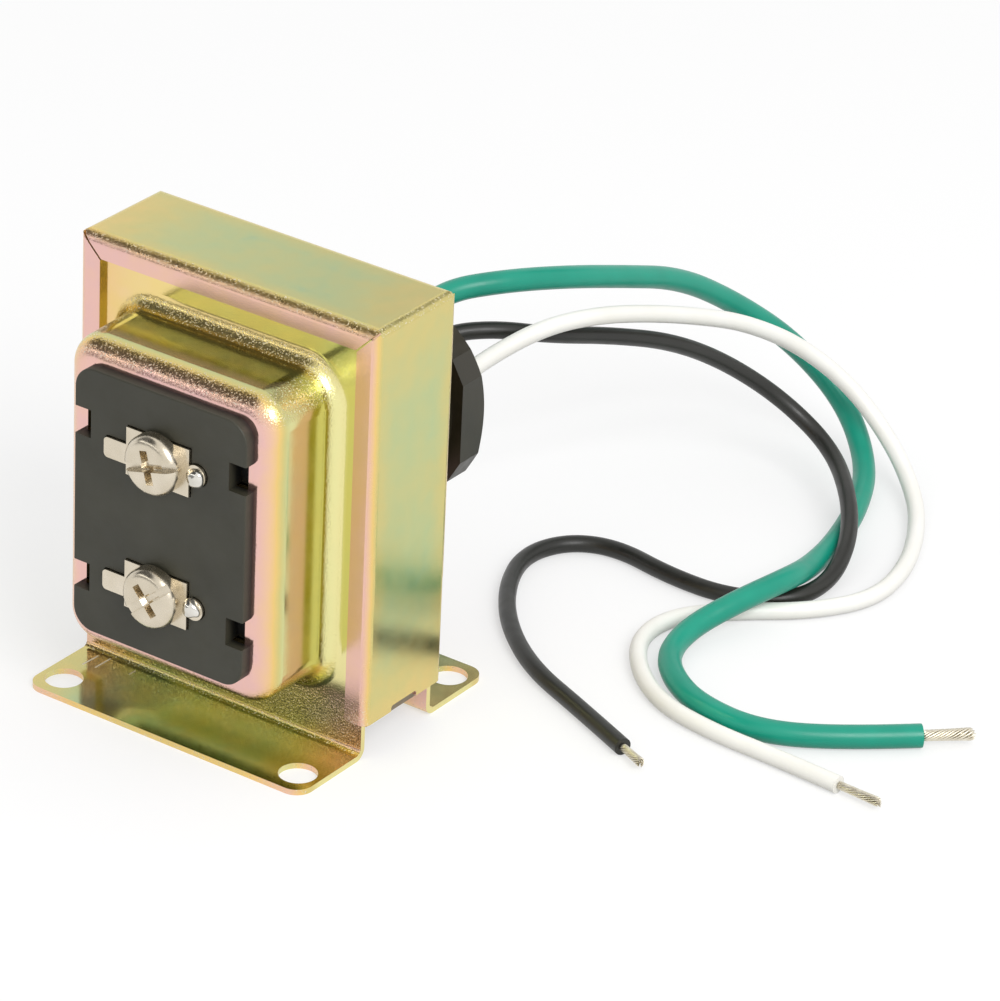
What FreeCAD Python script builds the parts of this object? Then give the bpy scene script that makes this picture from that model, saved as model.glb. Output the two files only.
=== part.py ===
import FreeCAD, Part
import math
import os

from FreeCAD import Vector

# Chassis-mount doorbell transformer, in millimetres.
# X runs along the terminal side, Y from the terminals to the threaded hub, Z up.
# The origin lies on the mounting surface, in the middle of the four foot holes.

# Core: E and I laminations, interleaved
lam_height = 55.5
lam_width = 45.0
limb_width = 9.0
lam_thickness = 0.635
lam_count = 21
core_bottom_z = 4.5
core_gap = 0.2

# Strap: the channel that wraps the top and both sides of the core
strap_t = 0.8
top_side_bend_r = 0.3
top_lip_bend_r = 0.7
side_lip_bend_r = 0.3
lip_width = 3.3
strap_lift = 0.9
mitre_gap = 0.25
notch_length = 5.4
notch_height = 0.8
notch_end_r = 0.4

# End covers: drawn pan, flange under the strap's lips, web and foot
cover_t = 0.8
flange_bend_clearance = 0.05
flange_corner_r = 1.0
pan_room_x = 2.6
pan_room_y = 2.8
pan_room_top = 1.75
pan_room_low = 3.65
pan_corner_r = 4.5
pan_draft = 0.2
pan_edge_r = 3.0
pan_base_r = 2.2
foot_reach = 12.7
foot_bend_inner_r = 0.8
foot_corner_r = 2.4
foot_hole_inset_x = 3.3
foot_hole_inset_y = 3.9175
foot_hole_r = 2.55

# Coil former and windings
tongue_gap = 0.15
former_wall = 0.8
former_end_gap = 0.2
partition_x = 3.0
former_window_gap = 0.35
winding_corner_r = 2.6
wrap_t = 0.4
former_margin = 0.5
former_corner_r = 2.0

# Terminal board with four snap hooks
board_width = 27.0
board_height = 37.2
board_t = 1.65
board_rise = 0.2
board_corner_r = 3.0
board_edge_r = 0.2
hook_spacing_z = 21.8
hook_height = 3.9
hook_depth_x = 2.6
hook_leg = 1.1
hook_clearance = 0.15
hook_overlap = 0.5
hook_barb = 1.4
hook_hole_reach = 1.8

# Terminal plates, their screws and solder joints
terminal_spacing_z = 18.8
plate_width = 9.9
plate_height = 6.6
plate_t = 0.8
plate_recess = 0.4
plate_clearance = 0.12
tab_length = 3.55
tab_height = 2.8
tab_drop = 0.55
tab_corner_r = 0.6
lug_x = 6.0
lug_r = 1.5
lug_neck = 2.2
lug_hole_r = 0.55
collar_r = 2.7
collar_length = 0.9
screw_r = 2.0
screw_length = 5.2
screw_clearance = 0.05
screw_head_r = 4.1
screw_head_h = 2.2
screw_rim_h = 0.9
screw_flat_r = 2.8
screw_tip_r = 1.5
slot_width = 1.15
slot_depth = 1.0
cross_span = 4.6
cross_depth = 1.6
cross_taper = 0.55
upper_slot_turn = 15.0
lower_slot_turn = 40.0
solder_r = 1.3
solder_height = 1.2
tail_r = 0.45
window_margin = 0.6

# Threaded hub and its lock nut
hub_rise = 1.0
hub_bore_r = 7.0
hub_thread_r = 10.2
hub_shoulder_r = 12.5
hub_shoulder_t = 2.55
hub_neck_r = 8.5
hub_neck_clearance = 0.1
hub_lip_r = 9.6
hub_lip_t = 1.3
hub_reach = 11.7
hub_tip_chamfer = 0.5
nut_standoff = 5.1
nut_t = 5.1
nut_across_flats = 27.0
nut_across_corners = 29.0
nut_flat_turn = 30.0
nut_back_r = 13.4
nut_back_slope = 0.82
nut_thread_clearance = 0.1
nut_collar_width = 1.6
nut_collar_h = 0.4

# Earth terminal inside the rear cover
earth_t = 0.6
earth_width = 3.6
earth_x = -2.5
earth_low_z = 33.7
earth_pad_length = 4.0
earth_clearance = 0.5

# Leads: insulation and bare conductor ends
green_dia = 3.2
mains_dia = 2.4
green_conductor_dia = 1.6
mains_conductor_dia = 1.2
green_bare_length = 7.2
white_bare_length = 6.8
black_bare_length = 4.8

# Sizes that follow from the driving dimensions
cut_over = 1.0
near = 1e-4
round_mid = math.sqrt(0.5)
half_stack = lam_count * lam_thickness / 2
window_length = lam_width - 2 * limb_width
core_top_z = core_bottom_z + lam_height
core_centre_z = core_bottom_z + lam_height / 2
strap_inner_x = lam_width / 2 + core_gap
strap_outer_x = strap_inner_x + strap_t
flange_face_y = half_stack + cover_t
strap_outer_y = flange_face_y + strap_t
strap_inner_top_z = core_top_z + core_gap
strap_top_z = strap_inner_top_z + strap_t
strap_bottom_z = core_bottom_z + strap_lift
flange_half_x = strap_inner_x - side_lip_bend_r - flange_bend_clearance
flange_top_z = strap_inner_top_z - top_lip_bend_r - flange_bend_clearance
foot_edge_y = flange_face_y + foot_reach
foot_hole_x = flange_half_x - foot_hole_inset_x
foot_hole_y = foot_edge_y - foot_hole_inset_y
window_height = (lam_height - 4 * limb_width) / 2
winding_build = window_height - tongue_gap - former_wall - wrap_t - former_margin - former_window_gap
former_in_y = half_stack + tongue_gap
former_in_z = limb_width + tongue_gap
former_out_y = former_in_y + former_wall
former_out_z = former_in_z + former_wall
coil_out_y = former_out_y + winding_build
coil_out_z = former_out_z + winding_build
wrap_out_y = coil_out_y + wrap_t
wrap_out_z = coil_out_z + wrap_t
former_half_x = window_length / 2 - former_end_gap
former_edge_y = wrap_out_y + former_margin
former_edge_z = wrap_out_z + former_margin
pan_width = 2 * (former_half_x + pan_room_x + cover_t)
pan_low_z = core_centre_z - former_edge_z - pan_room_low - cover_t
pan_high_z = core_centre_z + former_edge_z + pan_room_top + cover_t
pan_height = pan_high_z - pan_low_z
pan_centre_z = (pan_low_z + pan_high_z) / 2
pan_inner_face_y = former_edge_y + pan_room_y
pan_face_y = pan_inner_face_y + cover_t
board_centre_z = pan_centre_z + board_rise
board_face_y = pan_face_y + board_t
plate_face_y = board_face_y - plate_recess + plate_t
plate_back_y = plate_face_y - plate_t
terminal_heights = {
    "upper": board_centre_z + terminal_spacing_z / 2,
    "lower": board_centre_z - terminal_spacing_z / 2,
}
slot_turns = {"upper": upper_slot_turn, "lower": lower_slot_turn}
hub_centre_z = pan_centre_z + hub_rise
hook_in_x = board_width / 2 - hook_depth_x
hook_heights = [board_centre_z + side * hook_spacing_z / 2 for side in (-1, 1)]
nut_front_y = pan_face_y + nut_standoff
nut_back_y = nut_front_y + nut_t
earth_back_y = pan_inner_face_y - hub_lip_t - earth_clearance

# Lead routes: corner points of each lead, from the coil to the stripped end
GREEN_ROUTE = [
    (earth_x, earth_back_y, 35.6), (earth_x, 22.1, 35.6), (-2.2, 29.7, 35.5), (-4.7, 37.6, 36.7),
    (-4.2, 45.1, 38.6), (0.7, 51.0, 39.4), (4.5, 60.0, 38.0), (6.3, 71.9, 34.3),
    (7.6, 84.8, 29.8), (10.0, 95.7, 22.8), (15.3, 103.6, 15.4), (23.1, 106.1, 7.5),
    (30.8, 100.1, 2.6), (35.7, 90.5, 1.6), (39.2, 78.8, 1.6), (41.2, 69.1, 2.6),
    (42.8, 61.2, 4.8), (40.9, 51.9, 4.6), (38.0, 44.6, 2.6), (38.7, 38.2, 1.6),
    (43.2, 33.0, 1.6), (49.9, 29.3, 1.6), (59.3, 28.6, 1.6), (68.7, 34.3, 1.6),
    (76.1, 41.3, 1.6),
]
BLACK_ROUTE = [
    (-2.2, wrap_out_y, 30.0), (-2.2, 21.1, 30.0), (-2.4, 29.8, 30.3), (-4.2, 37.2, 31.1),
    (-3.2, 44.1, 33.0), (1.7, 48.6, 33.6), (6.1, 55.5, 31.5), (8.9, 66.0, 28.4),
    (12.1, 76.9, 24.4), (15.4, 86.3, 18.6), (20.6, 93.6, 11.6), (28.9, 93.6, 6.7),
    (37.5, 84.7, 5.4), (42.7, 76.4, 3.7), (44.6, 68.8, 1.5), (43.1, 61.7, 1.2),
    (35.8, 57.0, 1.2), (26.5, 56.9, 1.2), (16.6, 59.0, 1.2), (10.3, 56.1, 1.2),
    (7.9, 49.2, 1.2), (11.0, 40.7, 1.2), (17.4, 31.9, 1.2), (26.7, 24.2, 1.2),
    (37.6, 19.5, 1.2), (47.5, 14.9, 1.2),
]
WHITE_ROUTE = [
    (1.2, wrap_out_y, 33.0), (1.2, 21.1, 33.0), (2.7, 29.8, 31.0), (3.1, 37.1, 30.2),
    (4.2, 45.0, 32.0), (7.6, 52.0, 34.5), (9.9, 61.0, 33.6), (11.7, 70.9, 30.8),
    (14.1, 80.3, 27.6), (16.4, 88.7, 24.2), (20.2, 97.1, 18.9), (26.2, 102.1, 12.5),
    (33.6, 102.2, 5.7), (41.1, 96.7, 1.8), (46.6, 88.0, 1.2), (50.5, 78.3, 1.2),
    (51.4, 68.9, 1.2), (46.6, 60.8, 1.2), (39.4, 54.7, 1.2), (33.4, 48.4, 1.2),
    (32.7, 40.5, 1.2), (37.4, 33.1, 1.2), (44.9, 27.3, 1.2), (54.3, 25.4, 1.2),
    (64.3, 25.2, 1.2), (74.1, 24.5, 1.2),
]


def box(x_low, x_high, y_low, y_high, z_low, z_high):
    """Box between two values on each axis."""
    corner = Vector(x_low, y_low, z_low)
    return Part.makeBox(x_high - x_low, y_high - y_low, z_high - z_low, corner)


def polygon_face(points):
    """Flat face through the given points."""
    corners = [Vector(*point) for point in points]
    return Part.Face(Part.makePolygon(corners + corners[:1]))


def rounded_outline(half_x, half_z, radius, centre_z, y):
    """Rounded rectangle in a plane of constant Y, as a closed wire."""
    diagonal = radius * (1 - round_mid)
    edges = []
    for sx, sz in ((1, 1), (-1, 1), (-1, -1), (1, -1)):
        along_x = Vector(sx * half_x, y, centre_z + sz * (half_z - radius))
        middle = Vector(sx * (half_x - diagonal), y, centre_z + sz * (half_z - diagonal))
        along_z = Vector(sx * (half_x - radius), y, centre_z + sz * half_z)
        first, last = (along_x, along_z) if sx * sz > 0 else (along_z, along_x)
        edges.append((Part.Arc(first, middle, last).toShape(), first, last))
    wire = []
    for index, (arc, first, last) in enumerate(edges):
        wire.append(arc)
        following = edges[(index + 1) % len(edges)][1]
        wire.append(Part.LineSegment(last, following).toShape())
    return Part.Wire(wire)


def rounded_block(half_x, half_z, radius, centre_z, y_low, y_high):
    """Rounded rectangle carried along Y."""
    outline = rounded_outline(half_x, half_z, radius, centre_z, y_low)
    return Part.Face(outline).extrude(Vector(0, y_high - y_low, 0))


def cylinder_y(radius, y_low, y_high, x, z):
    """Cylinder along Y."""
    return Part.makeCylinder(radius, y_high - y_low, Vector(x, y_low, z), Vector(0, 1, 0))


def revolve_y(profile, x, z):
    """Turn a closed profile of (radius, y) points round an axis along Y."""
    face = polygon_face([(x + radius, y, z) for radius, y in profile])
    return face.revolve(Vector(x, 0, z), Vector(0, 1, 0), 360)


def edges_in_plane_y(shape, y, half_x, z_low, z_high):
    """Edges that lie in a plane of constant Y, inside a window of X and Z."""
    found = []
    for edge in shape.Edges:
        limits = edge.BoundBox
        flat = abs(limits.YMin - y) < near and abs(limits.YMax - y) < near
        inside = limits.XMin > -half_x and limits.XMax < half_x
        inside = inside and limits.ZMin > z_low and limits.ZMax < z_high
        if flat and inside:
            found.append(edge)
    return found


def mirror_y(shape):
    """The same piece on the other side of the middle plane of the stack."""
    return shape.mirror(Vector(0, 0, 0), Vector(0, 1, 0))


def lamination_layers():
    """Low Y and direction of each layer; the layers are turned end for end by turns."""
    for layer in range(lam_count):
        yield -half_stack + layer * lam_thickness, 1 if layer % 2 else -1


def e_laminations():
    """E-shaped sheets: a spine on one side and three limbs that point to the other."""
    sheets = []
    half_x = lam_width / 2
    for y, side in lamination_layers():
        blank = box(-half_x, half_x, y, y + lam_thickness, core_bottom_z, core_top_z)
        window_x = half_x - limb_width
        for low, high in ((core_bottom_z + limb_width, core_centre_z - limb_width),
                          (core_centre_z + limb_width, core_top_z - limb_width)):
            window = box(-window_x, window_x, y - cut_over, y + lam_thickness + cut_over, low, high)
            blank = blank.cut(window)
        ends = sorted((side * window_x, side * (half_x + cut_over)))
        open_side = box(ends[0], ends[1], y - cut_over, y + lam_thickness + cut_over,
                        core_bottom_z - cut_over, core_top_z + cut_over)
        sheets.append(blank.cut(open_side))
    return Part.makeCompound(sheets)


def i_laminations():
    """Straight sheets that close the open side of each E."""
    half_x = lam_width / 2
    sheets = []
    for y, side in lamination_layers():
        ends = sorted((side * (half_x - limb_width), side * half_x))
        sheets.append(box(ends[0], ends[1], y, y + lam_thickness, core_bottom_z, core_top_z))
    return Part.makeCompound(sheets)


def channel_block(half_x, half_y, top_z, bottom_z, top_side_r, top_lip_r, side_lip_r):
    """Block whose top, side and lip edges are rounded by a radius of their own."""
    plain = box(-half_x, half_x, -half_y, half_y, bottom_z, top_z)
    rounded = plain
    for length, radius in (("YLength", top_side_r), ("XLength", top_lip_r), ("ZLength", side_lip_r)):
        edges = []
        for edge in plain.Edges:
            limits = edge.BoundBox
            at_top = length == "ZLength" or limits.ZMin > bottom_z + near
            if getattr(limits, length) > strap_t and at_top:
                edges.append(edge)
        rounded = rounded.common(plain.makeFillet(radius, edges))
    return rounded


def strap_frame():
    """Folded channel over the top and sides, with turned-in lips that are mitred at the top corners."""
    outer = channel_block(strap_outer_x, strap_outer_y, strap_top_z, strap_bottom_z,
                          top_side_bend_r + strap_t, top_lip_bend_r + strap_t, side_lip_bend_r + strap_t)
    inner = channel_block(strap_inner_x, flange_face_y, strap_inner_top_z, strap_bottom_z - cut_over,
                          top_side_bend_r, top_lip_bend_r, side_lip_bend_r)
    strap = outer.cut(inner)
    opening_x = strap_outer_x - lip_width
    opening_z = strap_top_z - lip_width
    strap = strap.cut(box(-opening_x, opening_x, -strap_outer_y - cut_over, strap_outer_y + cut_over,
                          strap_bottom_z - cut_over, opening_z))
    for side in (-1, 1):
        for face in (-1, 1):
            y_ends = sorted((face * flange_face_y, face * (strap_outer_y + cut_over)))
            slit = box(-cut_over, 2 * lip_width, y_ends[0], y_ends[1], -mitre_gap / 2, mitre_gap / 2)
            slit.rotate(Vector(0, 0, 0), Vector(0, 1, 0), -45 if side > 0 else -135)
            slit.translate(Vector(side * opening_x, 0, opening_z))
            strap = strap.cut(slit)
    notch_low = strap_bottom_z - cut_over
    notch_top = strap_bottom_z + notch_height
    notch = box(-strap_outer_x - cut_over, strap_outer_x + cut_over, -notch_length / 2, notch_length / 2,
                notch_low, notch_top)
    upper = [e for e in notch.Edges if e.BoundBox.XLength > strap_outer_x and e.BoundBox.ZMin > notch_low]
    strap = strap.cut(notch.makeFillet(notch_end_r, upper))
    return strap


def pan_block(inset, base_y, face_y, edge_r):
    """Drawn pan as a solid: a drafted rounded rectangle with a rounded front edge."""
    half_x = pan_width / 2 - inset
    half_z = pan_height / 2 - inset
    corner_r = pan_corner_r - inset
    base = rounded_outline(half_x, half_z, corner_r, pan_centre_z, -base_y)
    front = rounded_outline(half_x - pan_draft, half_z - pan_draft, corner_r, pan_centre_z, -face_y)
    block = Part.makeLoft([base, front], True, True)
    rim = edges_in_plane_y(block, -face_y, half_x + cut_over, -cut_over, strap_top_z)
    return block.makeFillet(edge_r, rim)


def cover_blank():
    """One end cover on the terminal side: flange, web and foot from one sheet, with the drawn pan."""
    outer_r = foot_bend_inner_r + cover_t
    outer_mid = outer_r * (1 - round_mid)
    inner_mid = foot_bend_inner_r * (1 - round_mid)
    points = {
        "back_top": (half_stack, flange_top_z),
        "back_low": (half_stack, outer_r),
        "under_mid": (half_stack + outer_mid, outer_mid),
        "under_start": (half_stack + outer_r, 0),
        "under_end": (foot_edge_y, 0),
        "foot_end": (foot_edge_y, cover_t),
        "foot_start": (flange_face_y + foot_bend_inner_r, cover_t),
        "bend_mid": (flange_face_y + inner_mid, cover_t + inner_mid),
        "web_low": (flange_face_y, cover_t + foot_bend_inner_r),
        "front_top": (flange_face_y, flange_top_z),
    }
    at = {name: Vector(-flange_half_x, -y, z) for name, (y, z) in points.items()}
    edges = [
        Part.LineSegment(at["back_top"], at["back_low"]),
        Part.Arc(at["back_low"], at["under_mid"], at["under_start"]),
        Part.LineSegment(at["under_start"], at["under_end"]),
        Part.LineSegment(at["under_end"], at["foot_end"]),
        Part.LineSegment(at["foot_end"], at["foot_start"]),
        Part.Arc(at["foot_start"], at["bend_mid"], at["web_low"]),
        Part.LineSegment(at["web_low"], at["front_top"]),
        Part.LineSegment(at["front_top"], at["back_top"]),
    ]
    section = Part.Face(Part.Wire([edge.toShape() for edge in edges]))
    sheet = section.extrude(Vector(2 * flange_half_x, 0, 0))
    foot_corners = [e for e in sheet.Edges
                    if abs(e.BoundBox.YMin + foot_edge_y) < near and e.BoundBox.ZLength > cover_t / 2]
    sheet = sheet.makeFillet(foot_corner_r, foot_corners)
    flange_corners = [e for e in sheet.Edges
                      if e.BoundBox.ZMin > flange_top_z - near and e.BoundBox.YLength > cover_t / 2]
    sheet = sheet.makeFillet(flange_corner_r, flange_corners)
    blank = sheet.fuse(pan_block(0, half_stack, pan_face_y, pan_edge_r)).removeSplitter()
    search_low = pan_low_z - cut_over
    search_high = pan_high_z + cut_over
    root = edges_in_plane_y(blank, -flange_face_y, pan_width / 2 + cut_over, search_low, search_high)
    blank = blank.makeFillet(pan_base_r, root)
    hollow = pan_block(cover_t, half_stack, pan_inner_face_y, pan_edge_r - cover_t)
    blank = blank.cut(hollow)
    mouth = edges_in_plane_y(blank, -half_stack, pan_width / 2, search_low, search_high)
    blank = blank.makeFillet(pan_base_r + cover_t, mouth)
    for side in (-1, 1):
        hole = Part.makeCylinder(foot_hole_r, cover_t + 2 * cut_over,
                                 Vector(side * foot_hole_x, -foot_hole_y, -cut_over))
        blank = blank.cut(hole)
    return blank


def front_cover():
    """Terminal-side cover, pierced behind each terminal and for the board's hooks."""
    cover = cover_blank()
    through_low = -pan_face_y - cut_over
    through_high = -pan_inner_face_y + cut_over
    for height in terminal_heights.values():
        half_x = (lug_x + lug_r + collar_r) / 2 + window_margin
        centre_x = (lug_x + lug_r - collar_r) / 2
        half_z = collar_r + window_margin
        slot = rounded_block(half_x, half_z, window_margin, height, through_low, through_high)
        slot.translate(Vector(centre_x, 0, 0))
        cover = cover.cut(slot)
    hole_half_z = hook_height / 2
    inner_x = hook_in_x - hook_leg - hook_clearance
    outer_x = hook_in_x + hook_hole_reach
    for height in hook_heights:
        for side in (-1, 1):
            ends = sorted((side * inner_x, side * outer_x))
            hole = box(ends[0], ends[1], through_low, through_high,
                       height - hole_half_z, height + hole_half_z)
            cover = cover.cut(hole)
    return cover


def rear_cover():
    """Hub-side cover with the round hole for the hub's neck."""
    cover = mirror_y(cover_blank())
    hole = cylinder_y(hub_neck_r + hub_neck_clearance, pan_inner_face_y - cut_over,
                      pan_face_y + cut_over, 0, hub_centre_z)
    return cover.cut(hole)


def coil_former():
    """Split bobbin: a square tube on the centre limb with two end flanges and a partition."""
    tube = box(-former_half_x, former_half_x, -former_out_y, former_out_y,
               core_centre_z - former_out_z, core_centre_z + former_out_z)
    starts = (-former_half_x, partition_x - former_wall / 2, former_half_x - former_wall)
    for start in starts:
        plate = box(start, start + former_wall, -former_edge_y, former_edge_y,
                    core_centre_z - former_edge_z, core_centre_z + former_edge_z)
        corners = [edge for edge in plate.Edges if edge.BoundBox.XLength > former_wall / 2]
        tube = tube.fuse(plate.makeFillet(former_corner_r, corners))
    bore = box(-former_half_x - cut_over, former_half_x + cut_over, -former_in_y, former_in_y,
               core_centre_z - former_in_z, core_centre_z + former_in_z)
    return tube.cut(bore).removeSplitter()


def coil_ring(x_low, x_high, in_y, in_z, out_y, out_z, in_r, out_r):
    """Rectangular ring round the centre limb, with rounded corners along X."""
    def block(half_y, half_z, radius, over):
        solid = box(x_low - over, x_high + over, -half_y, half_y,
                    core_centre_z - half_z, core_centre_z + half_z)
        if radius == 0:
            return solid
        edges = [edge for edge in solid.Edges if edge.BoundBox.XLength > (x_high - x_low) / 2]
        return solid.makeFillet(radius, edges)

    return block(out_y, out_z, out_r, 0).cut(block(in_y, in_z, in_r, cut_over))


def section_ends():
    """X ends of the mains side and of the bell side of the former."""
    half_wall = former_wall / 2
    return {
        "primary": (-former_half_x + former_wall, partition_x - half_wall),
        "secondary": (partition_x + half_wall, former_half_x - former_wall),
    }


def winding(section):
    """Wound copper of one section as one solid."""
    low, high = section_ends()[section]
    return coil_ring(low, high, former_out_y, former_out_z, coil_out_y, coil_out_z, 0, winding_corner_r)


def wrap(section):
    """Insulating tape round one winding."""
    low, high = section_ends()[section]
    return coil_ring(low, high, coil_out_y, coil_out_z, wrap_out_y, wrap_out_z,
                     winding_corner_r, winding_corner_r + wrap_t)


def plate_outline(grow):
    """Terminal plate seen from the front, grown on all sides: field, wire tab and solder lug."""
    half_x = plate_width / 2 + grow
    half_z = plate_height / 2 + grow
    depth = board_t
    field = box(-half_x, half_x, 0, depth, -half_z, half_z)
    tab_end = plate_width / 2 + tab_length + grow
    tab = rounded_block(tab_end, tab_height / 2 + grow, tab_corner_r, -tab_drop, 0, depth)
    tab = tab.common(box(-tab_end, 0, 0, depth, -plate_height, plate_height))
    neck = box(0, lug_x, 0, depth, -lug_neck / 2 - grow, lug_neck / 2 + grow)
    lug = cylinder_y(lug_r + grow, 0, depth, lug_x, 0)
    return field.multiFuse([tab, neck, lug]).removeSplitter()


def terminal_board():
    """Moulded board: rounded plate, side notches over four snap hooks, recesses for the two plates."""
    board = rounded_block(board_width / 2, board_height / 2, board_corner_r, board_centre_z,
                          -board_face_y, -pan_face_y)
    rim = edges_in_plane_y(board, -board_face_y, board_width, 0, strap_top_z)
    board = board.makeFillet(board_edge_r, rim)
    for height in hook_heights:
        for side in (-1, 1):
            ends = sorted((side * hook_in_x, side * (board_width / 2 + cut_over)))
            board = board.cut(box(ends[0], ends[1], -board_face_y - cut_over, -pan_face_y + cut_over,
                                  height - hook_height / 2, height + hook_height / 2))
            board = board.fuse(snap_hook(side, height))
    for height in terminal_heights.values():
        recess = plate_outline(plate_clearance)
        recess.translate(Vector(0, -board_face_y - board_t + plate_recess, height))
        board = board.cut(recess)
        for x, radius in ((0, collar_r + plate_clearance), (lug_x, lug_hole_r + plate_clearance)):
            board = board.cut(cylinder_y(radius, -board_face_y - cut_over, -pan_face_y + cut_over, x, height))
    return board.removeSplitter()


def snap_hook(side, height):
    """Leg behind the board with a barb that catches under the edge of its hole in the pan."""
    half_z = hook_height / 2 - hook_clearance
    barb_start = pan_inner_face_y - hook_clearance
    barb_end = barb_start - hook_barb
    tip_x = hook_in_x + hook_hole_reach + hook_overlap
    root_x = hook_in_x - hook_leg
    profile = [(root_x, pan_face_y), (hook_in_x, pan_face_y), (hook_in_x, barb_start),
               (tip_x, barb_start), (hook_in_x, barb_end), (root_x, barb_end)]
    face = polygon_face([(side * x, -y, height - half_z) for x, y in profile])
    return face.extrude(Vector(0, 0, 2 * half_z))


def terminal_plate(height):
    """Plated terminal: pierced field with a drawn collar for the screw, tab and solder lug."""
    plate = plate_outline(0)
    plate.translate(Vector(0, -board_t, 0))
    plate = plate.common(box(-plate_width * 2, plate_width * 2, -plate_t, 0, -plate_height, plate_height))
    plate = plate.fuse(cylinder_y(collar_r, 0, collar_length, 0, 0))
    plate = plate.cut(cylinder_y(screw_r + screw_clearance, -board_t - cut_over,
                                 collar_length + cut_over, 0, 0))
    plate = plate.cut(cylinder_y(lug_hole_r, -board_t - cut_over, cut_over, lug_x, 0))
    plate.translate(Vector(0, -plate_back_y, height))
    return plate


def tapered_groove(length, width, depth, top):
    """Recess arm of a cross drive, narrower at its floor."""
    def rectangle(half_length, half_width, z):
        corners = [Vector(sx * half_length, sy * half_width, z)
                   for sx, sy in ((1, 1), (-1, 1), (-1, -1), (1, -1))]
        return Part.makePolygon(corners + corners[:1])

    mouth = rectangle(length / 2, width / 2, top)
    floor = rectangle(length / 2 * cross_taper, width / 2 * cross_taper, top - depth)
    return Part.makeLoft([mouth, floor], True, True)


def terminal_screw(height, slot_turn):
    """Binding-head screw with a combined slot and cross recess."""
    crown_mid = Vector(screw_flat_r + (screw_head_r - screw_flat_r) * round_mid, 0,
                       screw_rim_h + (screw_head_h - screw_rim_h) * round_mid)
    crown_end = Vector(screw_flat_r, 0, screw_head_h)
    rim = Vector(screw_head_r, 0, screw_rim_h)
    tip_length = screw_r - screw_tip_r
    outline = [Vector(screw_r, 0, 0), Vector(screw_r, 0, tip_length - screw_length),
               Vector(screw_tip_r, 0, -screw_length), Vector(0, 0, -screw_length), Vector(0, 0, screw_head_h),
               crown_end]
    edges = [Part.LineSegment(a, b).toShape() for a, b in zip(outline, outline[1:])]
    edges.append(Part.Arc(crown_end, crown_mid, rim).toShape())
    edges.append(Part.LineSegment(rim, Vector(screw_head_r, 0, 0)).toShape())
    edges.append(Part.LineSegment(Vector(screw_head_r, 0, 0), outline[0]).toShape())
    blank = Part.Face(Part.Wire(edges)).revolve(Vector(0, 0, 0), Vector(0, 0, 1), 360)
    half_slot = slot_width / 2
    slot = box(-screw_head_r - cut_over, screw_head_r + cut_over, -half_slot, half_slot,
               screw_head_h - slot_depth, screw_head_h + cut_over)
    arm = tapered_groove(cross_span, slot_width, cross_depth, screw_head_h)
    cross = arm.copy()
    cross.rotate(Vector(0, 0, 0), Vector(0, 0, 1), 90)
    screw = blank.cut(slot).cut(arm).cut(cross)
    screw.rotate(Vector(0, 0, 0), Vector(0, 0, 1), slot_turn)
    screw.rotate(Vector(0, 0, 0), Vector(1, 0, 0), 90)
    screw.translate(Vector(0, -plate_face_y, height))
    return screw


def solder_joint(height):
    """Rounded bead of solder on the front of the lug."""
    ball_r = (solder_r ** 2 + solder_height ** 2) / (2 * solder_height)
    centre_y = -plate_face_y - solder_height + ball_r
    ball = Part.makeSphere(ball_r, Vector(lug_x, centre_y, height))
    keep = box(lug_x - 2 * ball_r, lug_x + 2 * ball_r, -plate_face_y - 2 * ball_r, -plate_face_y,
               height - 2 * ball_r, height + 2 * ball_r)
    return ball.common(keep)


def secondary_tail(height):
    """Winding end that runs from the bell side of the coil to its solder lug."""
    return cylinder_y(tail_r, -plate_face_y, -wrap_out_y, lug_x, height)


def hub_bushing():
    """Turned profile of the hollow hub: inner lip, neck in the pan's hole, shoulder, threaded barrel."""
    end_y = pan_face_y + hub_reach
    lip_y = pan_inner_face_y - hub_lip_t
    shoulder_y = pan_face_y + hub_shoulder_t
    profile = [
        (hub_bore_r, lip_y), (hub_lip_r, lip_y), (hub_lip_r, pan_inner_face_y),
        (hub_neck_r, pan_inner_face_y), (hub_neck_r, pan_face_y), (hub_shoulder_r, pan_face_y),
        (hub_shoulder_r, shoulder_y), (hub_thread_r, shoulder_y), (hub_thread_r, end_y - hub_tip_chamfer),
        (hub_thread_r - hub_tip_chamfer, end_y), (hub_bore_r, end_y),
    ]
    return revolve_y(profile, 0, hub_centre_z)


def hexagon_block(across_flats, turn):
    """Hexagonal block along Y over the nut's thickness."""
    radius = across_flats / 2 / math.cos(math.pi / 6)
    points = []
    for index in range(6):
        angle = math.radians(60 * index + turn)
        points.append((radius * math.cos(angle), nut_front_y, hub_centre_z + radius * math.sin(angle)))
    return polygon_face(points).extrude(Vector(0, nut_t, 0))


def lock_nut():
    """Six-sided nut with cut corners, a coned back and a raised ring on its front."""
    wide = nut_across_corners
    body = hexagon_block(nut_across_flats, nut_flat_turn).common(hexagon_block(nut_across_corners, 0))
    rim_y = nut_back_y - nut_back_slope * (wide - nut_back_r)
    cone = revolve_y([(0, nut_front_y), (wide, nut_front_y), (wide, rim_y),
                      (nut_back_r, nut_back_y), (0, nut_back_y)], 0, hub_centre_z)
    body = body.common(cone)
    bore_r = hub_thread_r + nut_thread_clearance
    body = body.fuse(cylinder_y(bore_r + nut_collar_width, nut_front_y - nut_collar_h, nut_front_y,
                                0, hub_centre_z))
    bore = cylinder_y(bore_r, nut_front_y - nut_collar_h - cut_over, nut_back_y + cut_over, 0, hub_centre_z)
    return body.cut(bore).removeSplitter()


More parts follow.
